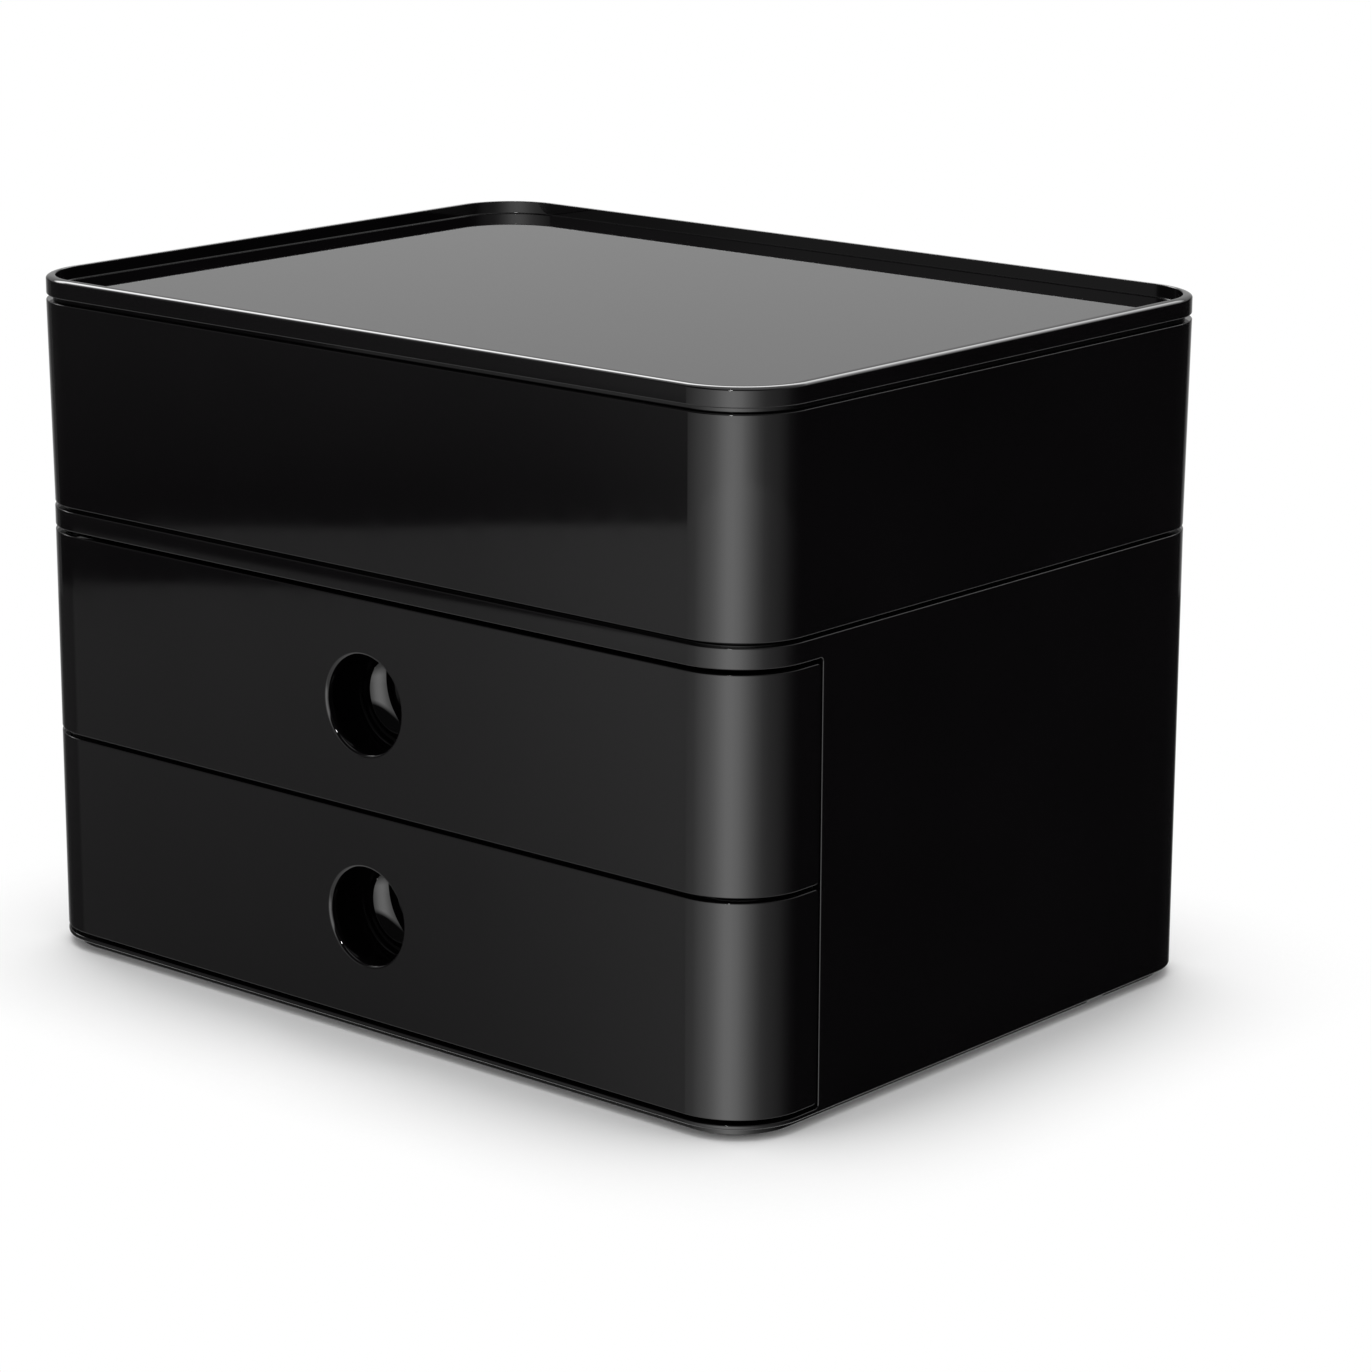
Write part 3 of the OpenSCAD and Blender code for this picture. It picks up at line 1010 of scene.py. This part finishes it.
@dataclass
class UtensilBox:
    """The upper box with its plinth, holders and three halved dividers."""

    corner_r: float = 20 * MM
    foot_inset: float = 0.1 * MM
    top_flare: float = 0.4 * MM
    wall: float = 2.2 * MM
    floor_up: float = 1.2 * MM
    holder_t: float = 1.4 * MM
    holder_depth: float = 2.5 * MM
    holder_h: float = 41 * MM
    slit: float = 1.2 * MM
    plinth: Plinth = field(default_factory=Plinth)

    def build(self) -> None:
        """Builds and dresses the box and its dividers."""
        self.box()
        for node in ("long_divider", "left_cross_divider", "right_cross_divider"):
            carry_over(node, SATIN_BLACK)

    def box(self) -> bpy.types.Object:
        """Models the box: walls that lean out a little, floor, plinth and holders.

        Returns:
            The finished box.
        """
        low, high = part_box("utensil_box")
        foot_z = low.z + self.plinth.height
        half_w, half_d = high.x - self.top_flare, high.y - self.top_flare
        foot_w, foot_d = half_w - self.foot_inset, half_d - self.foot_inset
        piece = WorkPiece.block("utensil_case", (-foot_w, -foot_d, foot_z), (foot_w, foot_d, high.z))
        piece.round_uprights(self.corner_r - self.foot_inset)
        piece.top().widen(high.x / foot_w, high.y / foot_d)
        self.plinth.shape(piece, half_w, low.z, self.plinth.inset - self.foot_inset)
        inside = WorkPiece.block("inside", (self.wall - half_w, self.wall - half_d, foot_z + self.floor_up),
                                 (half_w - self.wall, half_d - self.wall, high.z + MM))
        inside.round_uprights(self.corner_r - self.wall)
        piece.carve(Carve.CUT, inside)
        holders = self.holders(half_w - self.wall, half_d - self.wall, foot_z + self.floor_up)
        piece.carve(Carve.ADD, *holders)
        return piece.soften(0.3 * MM, 3).finish(Body.UTENSIL, GLOSS_BLACK, "utensil_box")

    def middle(self, node: str) -> Vector:
        """Finds the middle of a node's box."""
        low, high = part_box(node)
        return (low + high) / 2

    def holders(self, inner_w: float, inner_d: float, floor_z: float) -> list[WorkPiece]:
        """Makes the pairs of ribs on the walls that hold the dividers' ends.

        Args:
            inner_w: Half the inner width.
            inner_d: Half the inner depth.
            floor_z: The height of the box's floor.

        Returns:
            One block for each rib.
        """
        long_y = self.middle("long_divider").y
        cross_xs = [self.middle(f"{side}_cross_divider").x for side in ("left", "right")]
        sunk, top = 0.5 * MM, floor_z + self.holder_h
        ribs = []
        for side in (-1, 1):
            for flank in (-1, 1):
                near, far = sorted((flank * self.slit, flank * (self.slit + self.holder_t)))
                ends = sorted((side * (inner_w - self.holder_depth), side * (inner_w + sunk)))
                ribs.append(WorkPiece.block("holder", (ends[0], long_y + near, floor_z - sunk),
                                            (ends[1], long_y + far, top)))
                ends = sorted((side * (inner_d - self.holder_depth), side * (inner_d + sunk)))
                for x in cross_xs:
                    ribs.append(WorkPiece.block("holder", (x + near, ends[0], floor_z - sunk),
                                                (x + far, ends[1], top)))
        return ribs


@dataclass
class Lid:
    """The lid with its raised, crowned edge round a shallow tray, its seat and its skirt."""

    corner_r: float = 20.5 * MM
    edge_w: float = 2.6 * MM
    edge_h: float = 5.1 * MM
    crown_w: float = 2.3 * MM
    crown_h: float = 0.95 * MM
    crown_steps: int = 9
    tray_depth: float = 3.6 * MM
    seat_back: float = 1.7 * MM
    seat_w: float = 1.0 * MM
    seat_h: float = 1.5 * MM
    plate_down: float = 0.5 * MM
    skirt_gap: float = 0.3 * MM
    skirt_w: float = 1.6 * MM

    def build(self) -> bpy.types.Object:
        """Models the lid from a rounded block, by insets and extrusions.

        Returns:
            The finished lid.
        """
        low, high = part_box("lid")
        under_z = high.z - self.edge_h
        brow = (high.x, high.y, high.z - self.crown_h)
        piece = WorkPiece.block("tray_lid", (low.x, low.y, under_z), brow).round_uprights(self.corner_r)
        self.crown(piece.top())
        piece.inset(self.edge_w - self.crown_w).push(z=-self.tray_depth)
        seat_z = under_z - self.seat_h
        plate_z = under_z - self.plate_down
        piece.underside().inset(self.seat_back).push(z=seat_z - under_z)
        piece.inset(self.seat_w).push(z=plate_z - seat_z)
        piece.inset(self.skirt_gap).push(z=low.z - plate_z)
        piece.inset(self.skirt_w).push(z=plate_z - low.z)
        return piece.soften(0.3 * MM, 3).finish(Body.LID, GLOSS_BLACK, "lid")

    def crown(self, piece: WorkPiece) -> None:
        """Raises the selected top face in narrow steps that follow a quarter of an ellipse.

        Args:
            piece: The lid's block, with its top face selected.
        """
        turns = [math.pi / 2 * (i / self.crown_steps) for i in range(self.crown_steps + 1)]
        for start, end in zip(turns, turns[1:]):
            piece.inset(self.crown_w * (math.cos(start) - math.cos(end)),
                        rise=self.crown_h * (math.sin(end) - math.sin(start)))


# ---- camera, floor and light ----


@dataclass(frozen=True)
class Viewpoint:
    """The photographer's place, as solved from the photograph."""

    place: tuple[float, float, float] = (0.7770, -0.8746, 0.3827)
    turn: float = 40.64
    tilt: float = -14.65
    roll: float = 0.21
    focal_px: float = 4386.0
    frame_px: int = 1372
    film: float = 36.0

    def build(self) -> bpy.types.Object:
        """Sets the scene's camera.

        Returns:
            The camera.
        """
        data = bpy.data.cameras.new("viewpoint")
        data.sensor_width = self.film
        data.lens = self.focal_px / self.frame_px * self.film
        data.clip_start, data.clip_end = 0.05, 50
        camera = bpy.data.objects.new("viewpoint", data)
        bpy.context.scene.collection.objects.link(camera)
        turn, tilt, roll = (math.radians(a) for a in (self.turn, self.tilt, self.roll))
        ahead = Vector((-math.sin(turn) * math.cos(tilt), math.cos(turn) * math.cos(tilt), math.sin(tilt)))
        right = Vector((math.cos(turn), math.sin(turn), 0))
        up = right.cross(ahead)
        right_r = math.cos(roll) * right + math.sin(roll) * up
        up_r = -math.sin(roll) * right + math.cos(roll) * up
        camera.matrix_world = Matrix.Translation(self.place) @ Matrix(
            [[right_r[i], up_r[i], -ahead[i]] for i in range(3)]).to_4x4()
        bpy.context.scene.camera = camera
        return camera


@dataclass(frozen=True)
class Panorama:
    """What the glossy plastic mirrors: a band of the studio, brightest in the soft light at the front.

    Stops are pairs of azimuth in degrees, counted from +X towards +Y, and brightness, where 1 is white.
    Each span says between which elevations, in degrees, the band below gives way to the next one.
    """

    low: Stops = (
        (-180, 0.06), (-150, 0.12), (-142, 0.25), (-138, 0.25), (-134, 0.31), (-131, 0.49), (-117, 0.66),
        (-104, 1.10), (-94, 1.45), (-85, 1.90), (-76, 2.50), (-68, 2.95), (-60, 3.00), (-50, 2.60),
        (-42, 2.05), (-33, 1.45), (-24, 0.95), (-16, 0.62), (-7, 0.45), (3, 0.35), (13, 0.24), (23, 0.12),
        (34, 0.04), (46, 0.012), (100, 0.02), (116, 0.30), (122, 0.57), (142, 0.57),
        (152, 0.30), (170, 0.06),
    )
    level: Stops = (
        (-180, 0.05), (-150, 0.06), (-137, 0.08), (-133, 0.14), (-131, 0.20), (-129.8, 0.40), (-120, 0.60),
        (-104, 1.00), (-94, 1.30), (-85, 1.75), (-76, 2.40), (-68, 2.85), (-60, 2.95), (-50, 2.60),
        (-42, 1.90), (-33, 1.25), (-24, 0.75), (-16, 0.50), (-7, 0.40), (3, 0.32), (13, 0.20), (23, 0.08),
        (34, 0.03), (46, 0.010), (90, 0.02), (110, 0.40), (120, 0.57), (142, 0.57),
        (152, 0.40), (170, 0.10),
    )
    calm: Stops = (
        (-180, 0.5), (-160, 0.3), (-120, 0.045), (-20, 0.045), (30, 0.4), (80, 0.5),
        (110, 0.57), (175, 0.57),
    )
    above: Stops = (
        (-180, 4.0), (-172, 1.0), (-160, 0.4), (-120, 0.045), (-20, 0.045), (30, 0.5), (55, 0.8), (80, 2.0),
        (110, 4.0), (130, 7.0), (175, 7.0),
    )
    high: Stops = (
        (-180, 0.2), (-160, 0.06), (-120, 0.045), (-20, 0.045), (30, 0.4), (80, 0.8),
        (110, 1.0), (175, 1.0),
    )
    dip: Stops = ((-180, 0.35), (-134, 0.35), (-131, 0.5), (-129.8, 1.0), (178, 1.0))
    peak: float = 8.0
    low_end: Span = (-14, -23)
    low_edge: Span = (-13.25, -13.15)
    level_from: Span = (-12.8, -10.8)
    calm_from: Span = (12, 20)
    above_from: Span = (26, 31)
    high_from: Span = (38, 43)
    overhead_from: Span = (62, 72)
    floor_from: Span = (-22, -34)
    slope_turn: Span = (-131, -138)
    slope_h: float = -0.002
    ripple_h: float = 0.004
    ripple_scale: float = 12.0
    overhead: float = 1.0
    floor_near: float = 0.85

    def draw(self, board: NodeBoard) -> bpy.types.NodeSocket:
        """Draws the panorama.

        Args:
            board: The board to draw on.

        Returns:
            The brightness in the direction that is looked at.
        """
        look = board.add("ShaderNodeTexCoord").outputs["Generated"]
        split = board.add("ShaderNodeSeparateXYZ", Vector=look).outputs
        turn, height = board.calculate("ARCTAN2", split["Y"], split["X"]), split["Z"]
        round_about = board.spread(turn, 0, 1, -math.pi, math.pi)
        low, level, calm, above, high, dip = (
            self.ramp(board, round_about, stops)
            for stops in (self.low, self.level, self.calm, self.above, self.high, self.dip))
        dark_low, dark_level = (board.calculate("MULTIPLY", band, dip) for band in (low, level))
        band = board.blend(self.reached(board, height, self.low_end), low, dark_low)
        bent = self.horizon(board, look, turn, height)
        band = board.blend(self.reached(board, bent, self.low_edge), band, dark_level)
        for span, upper in ((self.level_from, level), (self.calm_from, calm), (self.above_from, above),
                            (self.high_from, high), (self.overhead_from, self.overhead),
                            (self.floor_from, self.floor_near)):
            band = board.blend(self.reached(board, height, span), band, upper)
        return band

    def horizon(self, board: NodeBoard, look: bpy.types.NodeSocket, turn: bpy.types.NodeSocket,
                height: bpy.types.NodeSocket) -> bpy.types.NodeSocket:
        """Bends the height, so that the low band's upper edge slopes and ripples a little.

        Args:
            board: The board to draw on.
            look: The direction that is looked at.
            turn: Its azimuth in radians.
            height: Its height on the unit sphere.

        Returns:
            The bent height.
        """
        ripple = board.add("ShaderNodeTexNoise", Vector=look, Scale=self.ripple_scale, Detail=1.0)
        slope = board.spread(turn, 0, 1, *(math.radians(azimuth) for azimuth in self.slope_turn))
        for share, amount in ((slope, self.slope_h), (ripple.outputs["Fac"], self.ripple_h)):
            height = board.calculate("MULTIPLY_ADD", share, amount, height)
        return height

    def reached(self, board: NodeBoard, height: bpy.types.NodeSocket, span: Span) -> bpy.types.NodeSocket:
        """Says how far a height has passed through a span of elevations.

        Args:
            board: The board to draw on.
            height: A height on the unit sphere.
            span: The elevations in degrees.

        Returns:
            0 before the span, 1 behind it.
        """
        start, end = (math.sin(math.radians(elevation)) for elevation in span)
        return board.spread(height, 0, 1, start, end)

    def ramp(self, board: NodeBoard, share: bpy.types.NodeSocket, stops: Stops) -> bpy.types.NodeSocket:
        """Adds a ramp of brightness round the studio.

        Args:
            board: The board to draw on.
            share: The azimuth as a share of the whole turn, from -X round to -X.
            stops: Pairs of azimuth and brightness.

        Returns:
            The brightness.
        """
        node = board.add("ShaderNodeValToRGB", Fac=share)
        elements = node.color_ramp.elements
        ready = len(elements)
        for number, (azimuth, value) in enumerate(stops):
            stop = elements[number] if number < ready else elements.new(1.0)
            stop.position = (azimuth + 180) / 360
            stop.color = (value / self.peak, value / self.peak, value / self.peak, 1)
        return board.calculate("MULTIPLY", node.outputs["Color"], self.peak)


@dataclass(frozen=True)
class AreaLamp:
    """A square lamp: where it hangs, what it points at, the length of its side and its watts."""

    name: str
    place: tuple[float, float, float]
    target: tuple[float, float, float]
    size: float
    power: float

    def hang(self) -> bpy.types.Object:
        """Hangs the lamp, which glossy surfaces don't mirror.

        Returns:
            The lamp.
        """
        data = bpy.data.lights.new(self.name, "AREA")
        data.shape = "SQUARE"
        data.size = self.size
        data.energy = self.power
        lamp = bpy.data.objects.new(self.name, data)
        bpy.context.scene.collection.objects.link(lamp)
        lamp.location = self.place
        aim = Vector(self.target) - Vector(self.place)
        lamp.rotation_euler = aim.to_track_quat("-Z", "Y").to_euler()
        lamp.visible_glossy = False
        return lamp


@dataclass(frozen=True)
class Studio:
    """Pale floor, soft light from above, and what the glossy plastic mirrors."""

    floor_size: float = 12.0
    # How far the painted shade round the box reaches, and from what ambient occlusion it starts to fade.
    shadow_reach: float = 60 * MM
    shadow_start: float = 0.55
    ambient: float = 0.75
    soft_top: AreaLamp = AreaLamp("soft_top", (-0.5, 0.3, 2.2), (0, 0, 0), 2.2, 26)
    front_spot: AreaLamp = AreaLamp("front_spot", (0.52, -0.98, 1.0), (0, 0, 0.1), 0.09, 2.5)
    panorama: Panorama = field(default_factory=Panorama)

    def build(self) -> None:
        """Builds the floor, both lamps and the world."""
        self.floor()
        self.soft_top.hang()
        self.only_glints(self.front_spot.hang())
        self.world()
        bpy.context.scene.view_settings.view_transform = "Standard"

    def floor(self) -> None:
        """Lays the pale floor. To the camera it glows white. Within shadow_reach of the box, ambient
        occlusion fades that glow into the lit floor, so the contact shadow is partly real and partly
        painted shade.
        """
        clear_selection()
        bpy.ops.mesh.primitive_plane_add(size=self.floor_size, location=(0, 0, 0))
        floor = WorkPiece(bpy.context.object, "studio_floor").settle().obj
        board = MaterialBoard("studio_floor")
        board.fix(Base_Color=(0.93, 0.93, 0.93, 1), Roughness=0.9, Specular_IOR_Level=0.0)
        # Painted shade: ambient occlusion fades the floor's white glow out near the box, on top of the real
        # shadow in the lit floor.
        near = board.add("ShaderNodeAmbientOcclusion", Distance=self.shadow_reach, samples=16)
        clear = board.spread(near.outputs["AO"], 0.0, 1.0, start=self.shadow_start, end=1.0)
        seen = board.calculate("MULTIPLY", clear, board.add("ShaderNodeLightPath").outputs["Is Camera Ray"])
        white = board.add("ShaderNodeEmission").outputs[0]
        mix = board.plug(board.add("ShaderNodeMixShader"), {0: seen, 1: board.shader.outputs[0], 2: white})
        board.plug(board.nodes["Material Output"], {"Surface": mix.outputs[0]})
        floor.data.materials.append(board.material)
        floor.visible_glossy = False

    def only_glints(self, lamp: bpy.types.Object) -> None:
        """Makes a lamp draw glints on edges and nothing else; the finger cups are left out of its light.

        Args:
            lamp: The lamp.
        """
        lamp.visible_glossy = True
        lamp.visible_diffuse = False
        lit = bpy.data.collections.new("lit_edges")
        for obj in bpy.data.objects:
            if obj.type == "MESH" and not obj.name.endswith(("_cup", "studio_floor")):
                lit.objects.link(obj)
        lamp.light_linking.receiver_collection = lit

    def world(self) -> None:
        """Makes the world white to the camera, soft to the surfaces and a panorama in reflections."""
        world = bpy.data.worlds.new("studio")
        bpy.context.scene.world = world
        world.use_nodes = True
        board = NodeBoard(world.node_tree)
        path = board.add("ShaderNodeLightPath").outputs
        mirrored = self.panorama.draw(board)
        strength = board.blend(path["Is Glossy Ray"], self.ambient, mirrored)
        seen = board.blend(path["Is Camera Ray"], strength, 1.0)
        board.plug(board.nodes["Background"], {"Color": (1, 1, 1, 1), "Strength": seen})


def main() -> None:
    """Builds the box, the studio and the camera."""
    logging.basicConfig(level=logging.INFO, format="%(name)s: %(message)s")
    Housing().build()
    Drawer("upper", Body.UPPER).build()
    Drawer("lower", Body.LOWER).build()
    UtensilBox().build()
    Lid().build()
    Studio().build()
    Viewpoint().build()


if __name__ == "__main__":
    main()
